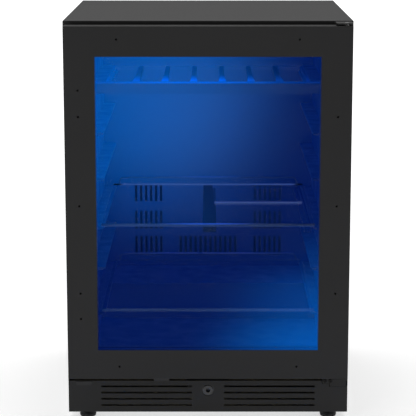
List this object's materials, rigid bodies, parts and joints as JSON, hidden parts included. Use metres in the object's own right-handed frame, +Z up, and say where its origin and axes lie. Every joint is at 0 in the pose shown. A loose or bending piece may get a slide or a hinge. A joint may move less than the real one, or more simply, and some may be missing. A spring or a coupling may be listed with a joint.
{
  "type": "undercounter refrigerator",
  "caption": "Built-in undercounter refrigerator with a right-hinged glass door, glass shelves, a sliding bottle rack and a slotted base with a key lock.",
  "frame": {"origin": "on the floor, under the middle of the object's box", "axes": "+X to the right seen from the front, +Y to the back, +Z up"},
  "size_m": [0.6, 0.606, 0.864],
  "materials": {
    "black_metal": "matte",
    "galvanised": "satin",
    "steel": "satin",
    "black_plastic": "matte",
    "door_core_black": "matte",
    "liner_plastic": "satin",
    "duct_plastic": "satin",
    "foam": "matte",
    "pane": "polished",
    "shelf_glass": "polished",
    "spacer_alloy": "satin",
    "seal_rubber": "matte",
    "compressor_black": "satin",
    "copper": "satin",
    "fin_alloy": "satin",
    "fan_plastic": "satin",
    "lock_zinc": "satin",
    "nylon": "satin",
    "lamp": "satin",
    "rack_black": "satin",
    "chrome_wire": "polished"
  },
  "bodies": {
    "cabinet": {"back_panel": "galvanised", "base_grille": "black_metal", "base_pan": "galvanised", "compressor": "compressor_black", "compressor_feet": "seal_rubber", "condenser_coil": "fin_alloy", "condenser_fan_motor": "steel", "condenser_fan_shroud": "black_metal", "control_box": "black_plastic", "cord_gland": "black_plastic", "door_sensor": "black_plastic", "drain_pan": "black_plastic", "duct_cover": "duct_plastic", "evaporator_coil": "fin_alloy", "evaporator_fan_motor": "steel", "filter_drier": "copper", "front_sill": "black_metal", "half_shelf_rails": "rack_black", "hinge_blank": "black_plastic", "hinge_pins": "steel", "hinge_plate_bottom": "black_metal", "hinge_plate_top": "black_metal", "hinge_screws": "steel", "insulation": "foam", "led_bars": "lamp", "liner_back": "liner_plastic", "liner_floor": "liner_plastic", "liner_left": "liner_plastic", "liner_right": "liner_plastic", "lock_housing": "lock_zinc", "rack_slides": "black_plastic", "refrigerant_pipes": "copper", "service_cover": "galvanised", "shelf_lower": "shelf_glass", "shelf_upper": "shelf_glass", "side_panel_left": "black_metal", "side_panel_right": "black_metal", "top_panel": "black_metal", "wire_rails": "chrome_wire"},
    "door": {"door_face_frame": "black_metal", "door_core": "door_core_black", "door_glass_outer": "pane", "door_glass_inner": "pane", "door_glass_spacer": "spacer_alloy", "door_inner_cover": "black_plastic", "door_gasket": "seal_rubber", "lock_strike": "steel", "hinge_bushes": "nylon"},
    "lock": {"lock_plug": "lock_zinc", "lock_cam": "steel"},
    "evaporator_fan": {"evaporator_fan_blade": "fan_plastic"},
    "condenser_fan": {"condenser_fan_blade": "fan_plastic"},
    "leg_front_left": {"leg_front_left": "steel"},
    "leg_front_right": {"leg_front_right": "steel"},
    "leg_rear_left": {"leg_rear_left": "steel"},
    "leg_rear_right": {"leg_rear_right": "steel"},
    "wine_rack": {"rack_trim": "rack_black", "rack_frame": "rack_black", "rack_rods": "rack_black"},
    "half_shelf": {"half_shelf": "shelf_glass"}
  },
  "joints": [
    {"name": "door_hinge", "type": "hinge", "parent": "cabinet", "child": "door", "pos_m": [0.284, -0.284, 0.48375], "axis": [0, 0, 1], "range_deg": [0, 110]},
    {"name": "lock_turn", "type": "hinge", "parent": "cabinet", "child": "lock", "pos_m": [0, -0.243, 0.0705], "axis": [0, 1, 0], "range_deg": [0, 90]},
    {"name": "evaporator_fan_spin", "type": "hinge", "parent": "cabinet", "child": "evaporator_fan", "pos_m": [0.15, 0.2425, 0.64], "axis": [0, 1, 0], "continuous": true},
    {"name": "condenser_fan_spin", "type": "hinge", "parent": "cabinet", "child": "condenser_fan", "pos_m": [-0.114, 0.187, 0.092], "axis": [1, 0, 0], "continuous": true},
    {"name": "rack_slide", "type": "slide", "parent": "cabinet", "child": "wine_rack", "axis": [0, -1, 0], "range_m": [0, 0.02]},
    {"name": "half_shelf_slide", "type": "slide", "parent": "cabinet", "child": "half_shelf", "axis": [0, -1, 0], "range_m": [0, 0.24]},
    {"name": "leg_front_left_height", "type": "slide", "parent": "cabinet", "child": "leg_front_left", "axis": [0, 0, -1], "range_m": [0, 0.02]},
    {"name": "leg_front_right_height", "type": "slide", "parent": "cabinet", "child": "leg_front_right", "axis": [0, 0, -1], "range_m": [0, 0.02]},
    {"name": "leg_rear_left_height", "type": "slide", "parent": "cabinet", "child": "leg_rear_left", "axis": [0, 0, -1], "range_m": [0, 0.02]},
    {"name": "leg_rear_right_height", "type": "slide", "parent": "cabinet", "child": "leg_rear_right", "axis": [0, 0, -1], "range_m": [0, 0.02]}
  ]
}
